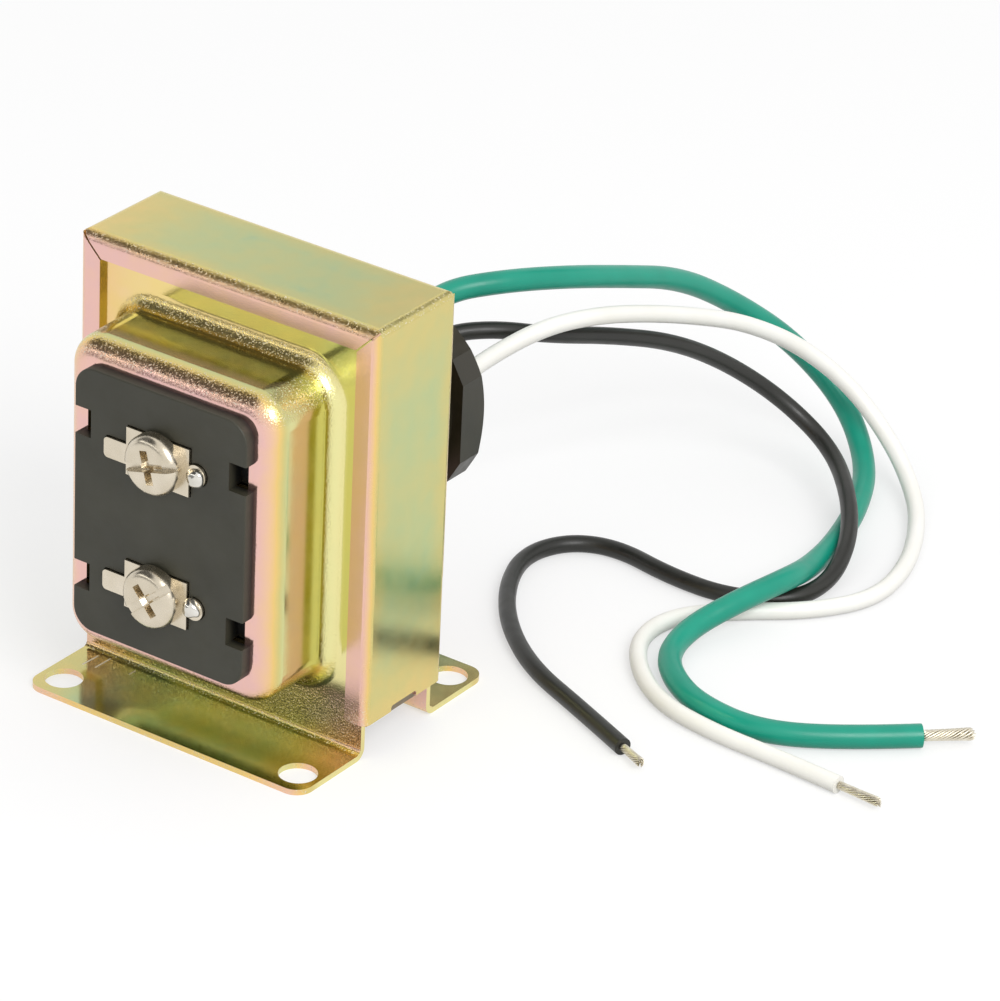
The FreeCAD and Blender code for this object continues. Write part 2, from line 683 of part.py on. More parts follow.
def earth_terminal():
    """Bent strip from the rear cover to the end of the green lead."""
    pad_y = pan_inner_face_y
    strip_y = earth_back_y - earth_t / 2
    step_z = hub_centre_z + hub_lip_r + earth_clearance
    half = earth_t / 2
    top_z = step_z + earth_t + earth_pad_length
    section = [
        (pad_y, top_z), (pad_y - earth_t, top_z), (pad_y - earth_t, step_z + earth_t),
        (strip_y - half, step_z + earth_t), (strip_y - half, earth_low_z), (strip_y + half, earth_low_z),
        (strip_y + half, step_z), (pad_y, step_z),
    ]
    face = polygon_face([(earth_x - earth_width / 2, y, z) for y, z in section])
    return face.extrude(Vector(earth_width, 0, 0))


def route_path(points):
    """Straight runs joined by the largest tangent arcs that fit; returns the wire and the radii."""
    corners = [Vector(*point) for point in points]
    edges = []
    radii = []
    start = corners[0]
    for before, corner, after in zip(corners, corners[1:], corners[2:]):
        back = before - corner
        ahead = after - corner
        reach = 0.45 * min(back.Length, ahead.Length)
        turn = math.pi - back.getAngle(ahead)
        radius = reach / math.tan(turn / 2)
        back.normalize()
        ahead.normalize()
        first = corner + back * reach
        last = corner + ahead * reach
        inward = back + ahead
        inward.normalize()
        centre = corner + inward * (radius / math.cos(turn / 2))
        middle = centre - inward * radius
        edges.append(Part.LineSegment(start, first).toShape())
        edges.append(Part.Arc(first, middle, last).toShape())
        radii.append(radius)
        start = last
    edges.append(Part.LineSegment(start, corners[-1]).toShape())
    return Part.Wire(edges), radii


def lead(name, points, diameter):
    """Insulated lead as a round tube along its route."""
    path, radii = route_path(points)
    start = Vector(*points[0])
    along = Vector(*points[1]) - start
    ring = Part.Wire(Part.makeCircle(diameter / 2, start, along))
    tube = path.makePipeShell([ring], True, False)
    expected = math.pi * diameter ** 2 / 4 * path.Length
    print(name, "length", round(path.Length, 1), "smallest radius", round(min(radii), 1),
          "radii", [round(radius, 1) for radius in radii],
          "volume share", round(tube.Volume / expected, 5))
    return tube


def bare_end(points, diameter, length):
    """Stripped conductor that carries on in the direction of the lead's last run."""
    end = Vector(*points[-1])
    along = end - Vector(*points[-2])
    return Part.makeCylinder(diameter / 2, length, end, along)


nodes = {
    "strap_frame": strap_frame(),
    "front_cover": front_cover(),
    "rear_cover": rear_cover(),
    "e_laminations": e_laminations(),
    "i_laminations": i_laminations(),
    "coil_former": coil_former(),
    "terminal_board": terminal_board(),
    "hub_bushing": hub_bushing(),
    "lock_nut": lock_nut(),
    "earth_terminal": earth_terminal(),
    "green_lead": lead("green_lead", GREEN_ROUTE, green_dia),
    "black_lead": lead("black_lead", BLACK_ROUTE, mains_dia),
    "white_lead": lead("white_lead", WHITE_ROUTE, mains_dia),
    "green_conductor": bare_end(GREEN_ROUTE, green_conductor_dia, green_bare_length),
    "black_conductor": bare_end(BLACK_ROUTE, mains_conductor_dia, black_bare_length),
    "white_conductor": bare_end(WHITE_ROUTE, mains_conductor_dia, white_bare_length),
}
for section in ("primary", "secondary"):
    nodes[section + "_winding"] = winding(section)
    nodes[section + "_wrap"] = wrap(section)
for place, height in terminal_heights.items():
    nodes[place + "_terminal_plate"] = terminal_plate(height)
    nodes[place + "_terminal_screw"] = terminal_screw(height, slot_turns[place])
    nodes[place + "_solder_joint"] = solder_joint(height)
    nodes[place + "_secondary_tail"] = secondary_tail(height)

os.makedirs("parts", exist_ok=True)
for node, shape in nodes.items():
    print(node, "solids", len(shape.Solids), "valid", shape.isValid(), "volume", round(shape.Volume, 2))
    shape.exportStep("parts/" + node + ".step")
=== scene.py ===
# %% [markdown]
# # Doorbell transformer
# A small transformer turns the mains into the low voltage of a doorbell. Its core is held by a folded
# steel strap between two drawn covers with feet. The bell wires go under two screws on a black board in
# front, and the three mains leads leave through a threaded hub at the back.
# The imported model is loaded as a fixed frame: its pieces keep their places and get their finishes. The
# leads, their stripped ends, the solder and the hub are replaced by finer ones.

# %% Load the frame
import math

import bmesh
import bpy
import numpy as np
from mathutils import Matrix, Vector


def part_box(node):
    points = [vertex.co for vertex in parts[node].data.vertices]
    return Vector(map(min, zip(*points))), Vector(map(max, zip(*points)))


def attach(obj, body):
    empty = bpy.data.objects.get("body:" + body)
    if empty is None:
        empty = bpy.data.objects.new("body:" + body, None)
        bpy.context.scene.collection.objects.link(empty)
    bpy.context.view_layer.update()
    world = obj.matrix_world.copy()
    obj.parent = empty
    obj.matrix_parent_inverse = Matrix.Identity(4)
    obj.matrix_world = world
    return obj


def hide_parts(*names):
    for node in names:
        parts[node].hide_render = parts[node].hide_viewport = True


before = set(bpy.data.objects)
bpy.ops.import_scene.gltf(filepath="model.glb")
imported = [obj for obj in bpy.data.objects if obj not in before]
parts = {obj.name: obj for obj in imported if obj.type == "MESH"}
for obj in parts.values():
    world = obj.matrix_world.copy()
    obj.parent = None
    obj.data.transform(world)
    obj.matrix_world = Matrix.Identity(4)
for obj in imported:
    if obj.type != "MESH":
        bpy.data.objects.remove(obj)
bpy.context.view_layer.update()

print("pieces in the frame:", len(parts))

# %% [markdown]
# ## Camera
# A product photograph is taken from far away with a long lens, so that edges stay nearly parallel.
# The camera is given by where it looks from, as an angle round the object and an angle above the floor,
# by its small tilt, and by how far the picture's middle lies from the object's own origin.

# %% Camera
view_azimuth = math.radians(34.129)
view_elevation = math.radians(27.703)
view_roll = math.radians(2.722)
view_distance = 0.73667
view_offset = (-0.03167, -0.02364)
lens_mm = 203.66
sensor_mm = 36.0


def camera_pose(azimuth, elevation, roll, distance, offset):
    """Right, up and back axes from the angles, turned by the roll; the eye lies back along them."""
    flat = math.cos(elevation)
    back = np.array([math.sin(azimuth) * flat, -math.cos(azimuth) * flat, math.sin(elevation)])
    right = np.array([math.cos(azimuth), math.sin(azimuth), 0.0])
    up = np.cross(back, right)
    turned_right = math.cos(roll) * right + math.sin(roll) * up
    turned_up = math.cos(roll) * up - math.sin(roll) * right
    eye = back * distance - turned_right * offset[0] - turned_up * offset[1]
    pose = Matrix.Identity(4)
    for column, axis in enumerate((turned_right, turned_up, back, eye)):
        for row in range(3):
            pose[row][column] = axis[row]
    return pose


camera_data = bpy.data.cameras.new("camera")
camera_data.sensor_fit = "HORIZONTAL"
camera_data.sensor_width = sensor_mm
camera_data.lens = lens_mm
camera = bpy.data.objects.new("camera", camera_data)
bpy.context.scene.collection.objects.link(camera)
camera.matrix_world = camera_pose(view_azimuth, view_elevation, view_roll, view_distance, view_offset)
bpy.context.scene.camera = camera
print("camera stands at", [round(v, 4) for v in camera.matrix_world.translation])

# %% [markdown]
# ## Leads
# Each lead is stranded wire in a vinyl sleeve: stiff enough to arch out of the hub, limp enough to lie on the
# floor. A smooth spline with a round bevel is the natural way to make one, with a few route points listed
# from the coil to the stripped end.

# %% Leads
GREEN_ROUTE = [
    (-0.0025, 0.0170675, 0.0356), (-0.0025, 0.0221, 0.0356),
    (-0.0022, 0.0297, 0.0355), (-0.0047, 0.0376, 0.0367), (-0.0042, 0.0451, 0.0386),
    (0.0007, 0.0510, 0.0394), (0.0045, 0.0600, 0.0380), (0.0063, 0.0719, 0.0343), (0.0076, 0.0848, 0.0298),
    (0.0100, 0.0957, 0.0228), (0.0153, 0.1036, 0.0154), (0.0231, 0.1061, 0.0075), (0.0308, 0.1001, 0.0026),
    (0.0357, 0.0905, 0.0016), (0.0392, 0.0788, 0.0016), (0.0412, 0.0691, 0.0026), (0.0428, 0.0612, 0.0048),
    (0.0409, 0.0519, 0.0046), (0.0380, 0.0446, 0.0026), (0.0387, 0.0382, 0.0016), (0.0432, 0.0330, 0.0016),
    (0.0499, 0.0293, 0.0016), (0.0593, 0.0286, 0.0016), (0.0687, 0.0343, 0.0016), (0.0761, 0.0413, 0.0016),
]
BLACK_ROUTE = [
    (-0.0022, 0.0155675, 0.0300), (-0.0022, 0.0211, 0.0300),
    (-0.0024, 0.0298, 0.0303), (-0.0042, 0.0372, 0.0311), (-0.0032, 0.0441, 0.0330), (0.0017, 0.0486, 0.0336),
    (0.0061, 0.0555, 0.0315), (0.0089, 0.0660, 0.0284), (0.0121, 0.0769, 0.0244), (0.0154, 0.0863, 0.0186),
    (0.0206, 0.0936, 0.0116), (0.0289, 0.0936, 0.0067), (0.0375, 0.0847, 0.0054), (0.0427, 0.0764, 0.0037),
    (0.0446, 0.0688, 0.0015), (0.0431, 0.0617, 0.0012), (0.0358, 0.0570, 0.0012), (0.0265, 0.0569, 0.0012),
    (0.0166, 0.0590, 0.0012), (0.0103, 0.0561, 0.0012), (0.0079, 0.0492, 0.0012), (0.0110, 0.0407, 0.0012),
    (0.0174, 0.0319, 0.0012), (0.0267, 0.0242, 0.0012), (0.0376, 0.0195, 0.0012), (0.0475, 0.0149, 0.0012),
]
WHITE_ROUTE = [
    (0.0012, 0.0155675, 0.0330), (0.0012, 0.0211, 0.0330),
    (0.0027, 0.0298, 0.0310), (0.0031, 0.0371, 0.0302), (0.0042, 0.0450, 0.0320), (0.0076, 0.0520, 0.0345),
    (0.0099, 0.0610, 0.0336), (0.0117, 0.0709, 0.0308), (0.0141, 0.0803, 0.0276), (0.0164, 0.0887, 0.0242),
    (0.0202, 0.0971, 0.0189), (0.0262, 0.1021, 0.0125), (0.0336, 0.1022, 0.0057), (0.0411, 0.0967, 0.0018),
    (0.0466, 0.0880, 0.0012), (0.0505, 0.0783, 0.0012), (0.0514, 0.0689, 0.0012), (0.0466, 0.0608, 0.0012),
    (0.0394, 0.0547, 0.0012), (0.0334, 0.0484, 0.0012), (0.0327, 0.0405, 0.0012), (0.0374, 0.0331, 0.0012),
    (0.0449, 0.0273, 0.0012), (0.0543, 0.0254, 0.0012), (0.0643, 0.0252, 0.0012), (0.0741, 0.0245, 0.0012),
]
green_diameter = 0.0032
mains_diameter = 0.0024
LEADS = {
    "green": (GREEN_ROUTE, green_diameter),
    "black": (BLACK_ROUTE, mains_diameter),
    "white": (WHITE_ROUTE, mains_diameter),
}


def lead_sleeve(name, route, diameter):
    """A curve of the third order whose control points are the route.

    Each point's radius is the sleeve's, and a bevel of one takes it as it is.
    """
    curve = bpy.data.curves.new(name, "CURVE")
    curve.dimensions = "3D"
    spline = curve.splines.new("NURBS")
    spline.points.add(len(route) - 1)
    spline.points.foreach_set("co", np.column_stack([route, np.ones(len(route))]).ravel())
    spline.points.foreach_set("radius", np.full(len(route), diameter / 2))
    spline.order_u = 3
    spline.use_endpoint_u = True
    spline.use_smooth = True
    curve.resolution_u = 10
    curve.bevel_depth = 1.0
    curve.bevel_resolution = 6
    curve.use_fill_caps = True
    sleeve = bpy.data.objects.new(name, curve)
    bpy.context.scene.collection.objects.link(sleeve)
    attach(sleeve, "root")
    return sleeve, spline.calc_length()


sleeves = {}
for colour, (route, diameter) in LEADS.items():
    sleeve, length = lead_sleeve(colour + "_sleeve", route, diameter)
    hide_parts(colour + "_lead")
    sleeves[colour] = (sleeve, length)
    print(colour, "lead is", round(length * 1000, 1), "mm long")

# %% [markdown]
# ## Meshes from arrays
# The small pieces that follow are grids of points worked out by formulas. A grid that closes round its
# columns needs only its number of rows and columns to get its faces.

# %% Meshes from arrays
weld_distance = 1e-7


def grid_faces(rows, columns, first=0):
    """Quads of a grid that is closed round its columns."""
    row, column = np.meshgrid(np.arange(rows - 1), np.arange(columns), indexing="ij")
    here = first + row * columns + column
    beside = first + row * columns + (column + 1) % columns
    return np.stack([here, beside, beside + columns, here + columns], axis=-1).reshape(-1, 4)


def new_mesh_object(name, points, faces):
    """Put the points and faces of arrays into a smooth mesh, with its normals turned outwards."""
    mesh = bpy.data.meshes.new(name)
    mesh.from_pydata(points.reshape(-1, 3).tolist(), [], faces.tolist())
    work = bmesh.new()
    work.from_mesh(mesh)
    bmesh.ops.remove_doubles(work, verts=work.verts, dist=weld_distance)
    bmesh.ops.recalc_face_normals(work, faces=work.faces)
    work.to_mesh(mesh)
    work.free()
    mesh.polygons.foreach_set("use_smooth", np.full(len(mesh.polygons), True))
    piece = bpy.data.objects.new(name, mesh)
    bpy.context.scene.collection.objects.link(piece)
    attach(piece, "root")
    return piece


print("a grid of 3 by 4 points has", len(grid_faces(3, 4)), "faces")

# %% [markdown]
# ## Stripped ends
# The sleeve ends a few millimetres early, and the tinned strands show as a slightly twisted bundle.
# One strand is a thin tube on a helix, so the whole bundle is one array: strand by step by corner.

# %% Stripped ends
STRANDS = {"green": (0.0072, 0.00076), "black": (0.0048, 0.00055), "white": (0.0068, 0.00056)}
STRAND_RINGS = [(1, 0), (6, 2), (12, 4)]
strand_steps = 26
strand_corners = 8
strand_turns = 0.85
strand_splay = 0.22
strand_uneven = 0.07
uneven_change = 5.3
tip_share = 1e-3
shoulder_share = 0.8


def strand_bundle(name, start, along, length, radius):
    """Strands in two rings round a middle one; each turns with the way along, and its tip closes to a point.

    centre(s) = start + along * s * length + ring * (cos(a + turn * s), sin(a + turn * s)) * (1 + splay * s^2)
    """
    strand_r = radius / 5
    rings = [(ring * strand_r, 2 * math.pi * i / count) for count, ring in STRAND_RINGS for i in range(count)]
    ring_r, ring_a = np.array(rings).T[:, :, None]
    s = np.linspace(0, 1, strand_steps)[None, :]
    uneven = 1 - strand_uneven * np.abs(np.sin(ring_a * uneven_change + ring_r / strand_r))
    angle = ring_a + 2 * math.pi * strand_turns * s
    spread = ring_r * (1 + strand_splay * s ** 2)
    axis = np.array(along)
    side = np.cross(axis, [0, 0, 1])
    side /= np.linalg.norm(side)
    lift = np.cross(side, axis)
    centre = np.array(start) + axis * (s * length * uneven)[..., None]
    centre = centre + side * (spread * np.cos(angle))[..., None] + lift * (spread * np.sin(angle))[..., None]
    closing = np.ones(strand_steps)
    closing[0] = closing[-1] = tip_share
    closing[-2] = shoulder_share
    turn = np.linspace(0, 2 * math.pi, strand_corners, endpoint=False)
    rim = side * np.cos(turn)[:, None] + lift * np.sin(turn)[:, None]
    points = centre[:, :, None, :] + strand_r * closing[None, :, None, None] * rim[None, None]
    one_strand = strand_steps * strand_corners
    faces = [grid_faces(strand_steps, strand_corners, i * one_strand) for i in range(len(rings))]
    return new_mesh_object(name, points, np.concatenate(faces))


strands = {}
for colour, (bare_length, bundle_r) in STRANDS.items():
    route = np.array(LEADS[colour][0])
    along = route[-1] - route[-2]
    along /= np.linalg.norm(along)
    strands[colour] = strand_bundle(colour + "_strands", route[-1], along, bare_length, bundle_r)
    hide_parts(colour + "_conductor")
    sleeve, length = sleeves[colour]
    print(colour, "end has", len(strands[colour].data.polygons), "faces")

# %% [markdown]
# ## Solder beads
# Solder freezes where it stood when the iron left: a bead that is drawn out a little to one side.
# A ball in two angles is pushed in and out by a few waves, so that its gloss breaks into small glints.

# %% Solder beads
bead_rows = 28
bead_columns = 40
bead_height_share = 0.95
BEAD_TURNS = {"upper": -0.7, "lower": 2.2}


def solder_bead(name, centre, radius, height, turn):
    """Ball in polar angle t and turn p, flattened towards the board.

    bulge(t, p) = 1 + 0.16 sin t cos(p - turn) + 0.07 sin(3 p + turn) sin^2 t + 0.05 cos(5 t + 2 p) sin t
    """
    t, p = np.meshgrid(np.linspace(0, math.pi, bead_rows),
                       np.linspace(0, 2 * math.pi, bead_columns, endpoint=False), indexing="ij")
    bulge = 1 + 0.16 * np.sin(t) * np.cos(p - turn) + 0.07 * np.sin(3 * p + turn) * np.sin(t) ** 2
    bulge = bulge + 0.05 * np.cos(5 * t + 2 * p) * np.sin(t)
    points = np.stack([radius * bulge * np.sin(t) * np.cos(p), -height * bulge * np.cos(t),
                       radius * bulge * np.sin(t) * np.sin(p)], axis=-1) + np.array(centre)
    return new_mesh_object(name, points, grid_faces(*t.shape))


beads = {}
for place, turn in BEAD_TURNS.items():
    low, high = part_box(place + "_solder_joint")
    centre = ((low.x + high.x) / 2, high.y, (low.z + high.z) / 2)
    height = (high.y - low.y) * bead_height_share
    beads[place] = solder_bead(place + "_bead", centre, (high.x - low.x) / 2, height, turn)
    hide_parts(place + "_solder_joint")
    print(place, "bead has", len(beads[place].data.polygons), "faces")

# %% [markdown]
# ## Threaded hub
# The lock nut runs on a coarse thread that is moulded on the barrel of the hub. The hub is a turned shape,
# so it is a profile carried round the axis; on the barrel the radius also follows rounded ridges that climb
# one pitch with each turn, which makes a true helix.

# %% Threaded hub
hub_bore_r = 0.0070
hub_thread_r = 0.0102
hub_lip_r = 0.0096
hub_neck_r = 0.0085
hub_lip_t = 0.0013
pan_wall = 0.0008
hub_shoulder_t = 0.00255
hub_tip_chamfer = 0.0005
thread_pitch = 0.0018
thread_depth = 0.0007
thread_runout = 0.0006
hub_sides = 120
barrel_rows = 60
crease_angle = math.radians(40)


def threaded_hub(name):
    """Closed profile of (radius, y) turned round the hub's axis in equal steps.

    On the barrel r(y, a) = crest - depth * fade(y) * (0.5 - 0.5 cos(2 pi y / pitch - a)), a helix of one
    start, where fade falls to nought at the tip.
    """
    low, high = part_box("hub_bushing")
    shoulder_r = (high.x - low.x) / 2
    face_y = low.y + hub_lip_t + pan_wall
    shoulder_y = face_y + hub_shoulder_t
    barrel_end = high.y - hub_tip_chamfer
    angle = np.linspace(0, 2 * math.pi, hub_sides, endpoint=False)
    y = np.linspace(shoulder_y, barrel_end, barrel_rows)[:, None]
    fade = np.clip((barrel_end - y) / thread_runout, 0, 1)
    groove = 0.5 - 0.5 * np.cos(2 * math.pi * y / thread_pitch - angle)
    barrel_r = hub_thread_r - thread_depth * fade * groove
    before = np.array([(hub_bore_r, low.y), (hub_lip_r, low.y), (hub_lip_r, low.y + hub_lip_t),
                       (hub_neck_r, low.y + hub_lip_t), (hub_neck_r, face_y), (shoulder_r, face_y),
                       (shoulder_r, shoulder_y)])
    after = np.array([(hub_thread_r - hub_tip_chamfer, high.y), (hub_bore_r, high.y), (hub_bore_r, low.y)])
    even = np.ones_like(angle)
    radius = np.concatenate([np.outer(before[:, 0], even), barrel_r, np.outer(after[:, 0], even)])
    along = np.concatenate([before[:, 1], y[:, 0], after[:, 1]])[:, None] * even
    height = (low.z + high.z) / 2 + radius * np.sin(angle)
    points = np.stack([radius * np.cos(angle), along, height], axis=-1)
    hub = new_mesh_object(name, points, grid_faces(*radius.shape))
    hub.data.set_sharp_from_angle(angle=crease_angle)
    return hub


hub = threaded_hub("threaded_hub")
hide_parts("hub_bushing")
print("threaded hub has", len(hub.data.polygons), "faces")

# %% [markdown]
# ## Nodes and sums
# Finishes and the studio are built from shader nodes. Placing them by hand takes many lines, so these short
# functions add one node each, or a small sum of nodes, and a finish reads like the formula behind it.

# %% Nodes and sums


def add_node(tree, kind, inputs=None, **settings):
    """Add a node, set its properties and its unlinked inputs, and link inputs that are given as sockets."""
    node = tree.nodes.new(kind)
    for key, value in settings.items():
        setattr(node, key, value)
    for key, value in (inputs or {}).items():
        socket = node.inputs[key]
        if isinstance(value, bpy.types.NodeSocket):
            tree.links.new(value, socket)
        else:
            socket.default_value = value
    return node


def arithmetic(tree, operation, first, second=0.0):
    """One operation on two values or sockets."""
    return add_node(tree, "ShaderNodeMath", {0: first, 1: second}, operation=operation).outputs[0]


def total(tree, first, *others):
    """Sum of values or sockets."""
    for value in others:
        first = arithmetic(tree, "ADD", first, value)
    return first


def product(tree, first, *others):
    """Product of values or sockets."""
    for value in others:
        first = arithmetic(tree, "MULTIPLY", first, value)
    return first


def vector_sum(tree, operation, first, second, output=0):
    """One operation on two vectors; output 1 is the single value of a dot product or a distance."""
    return add_node(tree, "ShaderNodeVectorMath", {0: first, 1: second}, operation=operation).outputs[output]


print("sums:", arithmetic.__name__, total.__name__, product.__name__, vector_sum.__name__)

# %% [markdown]
# ## Steps and places
# A finish changes from place to place. A soft step turns a coordinate into a mask, and noise in the
# object's own coordinates stays on the surface when the object moves.

# %% Steps and places


def between(tree, share, low, high):
    """Value from low to high by a share from nought to one."""
    return add_node(tree, "ShaderNodeMapRange", {"Value": share, "To Min": low, "To Max": high}).outputs[0]


def smooth_step(tree, value, start, stop, height=1.0):
    """Nought before start and a height after stop, with a soft rise between."""
    rise = add_node(tree, "ShaderNodeMapRange", {"Value": value, "From Min": start, "From Max": stop,
                                                 "To Min": 0.0, "To Max": height},
                    interpolation_type="SMOOTHSTEP")
    return rise.outputs[0]


def share_of(tree, value, middle, half):
    """How far a coordinate lies from the middle, as a share of the half length."""
    away = arithmetic(tree, "ABSOLUTE", arithmetic(tree, "SUBTRACT", value, middle))
    return arithmetic(tree, "DIVIDE", away, half)


def axes_of(tree, vector):
    """The three values of a vector socket."""
    return list(add_node(tree, "ShaderNodeSeparateXYZ", {0: vector}).outputs)


def noise(tree, scale, detail):
    """Cloudy noise in the object's own coordinates."""
    place = add_node(tree, "ShaderNodeTexCoord").outputs["Object"]
    clouds = add_node(tree, "ShaderNodeTexNoise", {"Vector": place, "Scale": scale, "Detail": detail})
    return clouds.outputs["Fac"]


print("steps and places:", between.__name__, smooth_step.__name__, share_of.__name__, noise.__name__)

# %% [markdown]
# ## Colours
# Colours are written as a screen shows them, from 0 to 255, and turned into the light that the shader
# needs. A ramp blends several of them along one value, and a mix blends two by a share.

# %% Colours


def colour_ramp(tree, value, stops):
    """Colours along a value, each stop given as a place and a colour."""
    ramp = add_node(tree, "ShaderNodeValToRGB", {"Fac": value})
    elements = ramp.color_ramp.elements
    while len(elements) < len(stops):
        elements.new(0.5)
    for element, (place, colour) in zip(elements, stops):
        element.position = place
        element.color = (*colour, 1)
    return ramp.outputs["Color"]


def mix_colours(tree, share, first, second, **settings):
    """Colour from the first to the second by a share."""
    colours = {"Factor": share, "A": first, "B": second}
    return add_node(tree, "ShaderNodeMix", colours, data_type="RGBA", **settings).outputs[2]


def screen(*levels):
    """Linear colour of a screen colour whose red, green and blue go from 0 to 255."""
    return tuple(((c / 255 + 0.055) / 1.055) ** 2.4 if c > 10 else c / 255 / 12.92 for c in levels)


print("white on the screen is", screen(255, 255, 255), "as light")

# %% [markdown]
# ## Groups and materials
# An effect that several finishes share is a node group with named sockets, built once and placed in each
# material with its own values. What is the same all over a surface is set on the shader itself.

# %% Groups and materials


def new_group(name, inputs, outputs):
    """Empty node group with named sockets: (name, kind, value) in, (name, kind) out."""
    group = bpy.data.node_groups.new(name, "ShaderNodeTree")
    for label, kind, value in inputs:
        socket = group.interface.new_socket(label, in_out="INPUT", socket_type=kind)
        socket.default_value = value
    for label, kind in outputs:
        group.interface.new_socket(label, in_out="OUTPUT", socket_type=kind)
    return group, group.nodes.new("NodeGroupInput"), group.nodes.new("NodeGroupOutput")


def place_group(tree, group, **inputs):
    """Place a group in a material with its own values."""
    return add_node(tree, "ShaderNodeGroup", inputs, node_tree=group)


def new_material(name, **values):
    """Material with a Principled shader whose even values are set on its own sockets."""
    material = bpy.data.materials.new(name)
    material.use_nodes = True
    tree = material.node_tree
    shader = tree.nodes["Principled BSDF"]
    for key, value in values.items():
        shader.inputs[key.replace("_", " ")].default_value = value
    return material, tree, shader


print("materials so far:", len(bpy.data.materials))

# %% [markdown]
# ## Studio
# The object stands on a white floor with one soft lamp in front on the right. The floor glows a little for
# the camera and for reflections, so that it stays white and keeps a pale shadow without more lamps.

# %% Studio
floor_size = 4.0
floor_shade = 0.44
floor_rough = 0.9
floor_glow = 0.55
lamp_direction = Vector((0.667, -0.333, 0.663))
lamp_distance = 0.85
lamp_size = 0.42
lamp_watts = 3.6


def level_sheet(name, size):
    """Level square round the origin."""
    half = size / 2
    mesh = bpy.data.meshes.new(name)
    corners = [(-half, -half, 0), (half, -half, 0), (half, half, 0), (-half, half, 0)]
    mesh.from_pydata(corners, [], [(0, 1, 2, 3)])
    sheet = bpy.data.objects.new(name, mesh)
    bpy.context.scene.collection.objects.link(sheet)
    return sheet


def seen_directly(tree):
    """One for rays from the camera, from reflections and through glass; nought for soft light."""
    path = add_node(tree, "ShaderNodeLightPath")
    seen = arithmetic(tree, "MAXIMUM", path.outputs["Is Camera Ray"], path.outputs["Is Glossy Ray"])
    return arithmetic(tree, "MAXIMUM", seen, path.outputs["Is Transmission Ray"])


floor = level_sheet("floor", floor_size)
floor_white, floor_tree, floor_shader = new_material(
    "floor_white", Base_Color=(floor_shade, floor_shade, floor_shade, 1), Roughness=floor_rough,
    Specular_IOR_Level=0.0, Emission_Color=(1, 1, 1, 1))
floor_tree.links.new(between(floor_tree, seen_directly(floor_tree), 0.0, floor_glow),
                     floor_shader.inputs["Emission Strength"])
floor.data.materials.append(floor_white)

lamp_data = bpy.data.lights.new("lamp", "AREA")
lamp_data.shape = "SQUARE"
lamp_data.size = lamp_size
lamp_data.energy = lamp_watts
lamp = bpy.data.objects.new("lamp", lamp_data)
lamp.location = lamp_direction * lamp_distance
lamp.rotation_euler = lamp_direction.to_track_quat("Z", "Y").to_euler()
bpy.context.scene.collection.objects.link(lamp)
print("studio: lamp of", lamp_watts, "W over a floor of", floor_size, "m")

# %% [markdown]
# ## White room
# Soft light comes from all sides, as between white walls. The room is the world's background, a little
# darker as light than as the camera sees it.

# %% White room
wall_light = 0.78
world = bpy.data.worlds.new("white_room")
bpy.context.scene.world = world
world.use_nodes = True
room = world.node_tree
background = room.nodes["Background"]
background.inputs["Color"].default_value = (1, 1, 1, 1)
plain_light = between(room, seen_directly(room), wall_light, 1.0)
room.links.new(plain_light, background.inputs["Strength"])
bpy.context.scene.view_settings.view_transform = "Standard"
print("white room: walls at", wall_light, "of white")

# %% [markdown]
# ## What the metal sees
# Plated steel shows what stands round it, so the studio is half of its finish. Reflections find white
# walls, and in front on the left a low dark wall, a bright softbox, the dark room above it and a dark panel
# higher up; two smaller panels hang behind. All this is painted into the world by direction and for
# reflections only, so it draws light and dark into the bends and the inner corners without changing the
# light on the object.

# %% What the metal sees
PANELS = [
    ((-0.62, -0.42, 0.66), (0.83, 0.89), 0.10),
    ((0.12, 0.77, 0.63), (0.955, 0.985), 0.25),
    ((-0.485, 0.715, 0.504), (0.9975, 0.9992), 0.30),
]
FRONT_LEVELS = [(-0.01, 0.30, 0.30), (0.30, 0.478, 2.0), (0.478, 0.59, 0.08)]
front_direction = (-0.56, -0.83, 0.0)
front_side = (0.83, -0.56, 0.0)
front_spread = 0.5
soft_border = 0.015
least_ahead = 0.001


def inside(tree, value, low, high):
    """One between two limits, with soft borders."""
    return product(tree, smooth_step(tree, value, low - soft_border, low + soft_border),
                   smooth_step(tree, value, high + soft_border, high - soft_border))


def painted(tree, level, mask, light):
    """level + mask * (light - level)"""
    return total(tree, level, product(tree, mask, arithmetic(tree, "SUBTRACT", light, level)))


sky = add_node(room, "ShaderNodeTexCoord").outputs["Generated"]
level = 1.0
for direction, cosines, light in PANELS:
    towards = vector_sum(room, "DOT_PRODUCT", sky, direction, 1)
    level = painted(room, level, smooth_step(room, towards, *cosines), light)
ahead = arithmetic(room, "MAXIMUM", vector_sum(room, "DOT_PRODUCT", sky, front_direction, 1), least_ahead)
aside = arithmetic(room, "DIVIDE", vector_sum(room, "DOT_PRODUCT", sky, front_side, 1), ahead)
above = arithmetic(room, "DIVIDE", vector_sum(room, "DOT_PRODUCT", sky, (0, 0, 1), 1), ahead)
in_front = inside(room, aside, -front_spread, front_spread)
for low, high, light in FRONT_LEVELS:
    level = painted(room, level, product(room, in_front, inside(room, above, low, high)), light)
reflected = add_node(room, "ShaderNodeLightPath").outputs["Is Glossy Ray"]
room.links.new(painted(room, plain_light, reflected, level), background.inputs["Strength"])
print("reflections see", len(FRONT_LEVELS), "levels in front and", len(PANELS), "dark panels")

# %% [markdown]
# ## Surface grain and slow wander
# Two effects are shared by all finishes. The grain raises the peaks of a fine noise in the height of the
# surface, by a share that a finish can change from place to place. The wander lets one value drift slowly
# between two limits.

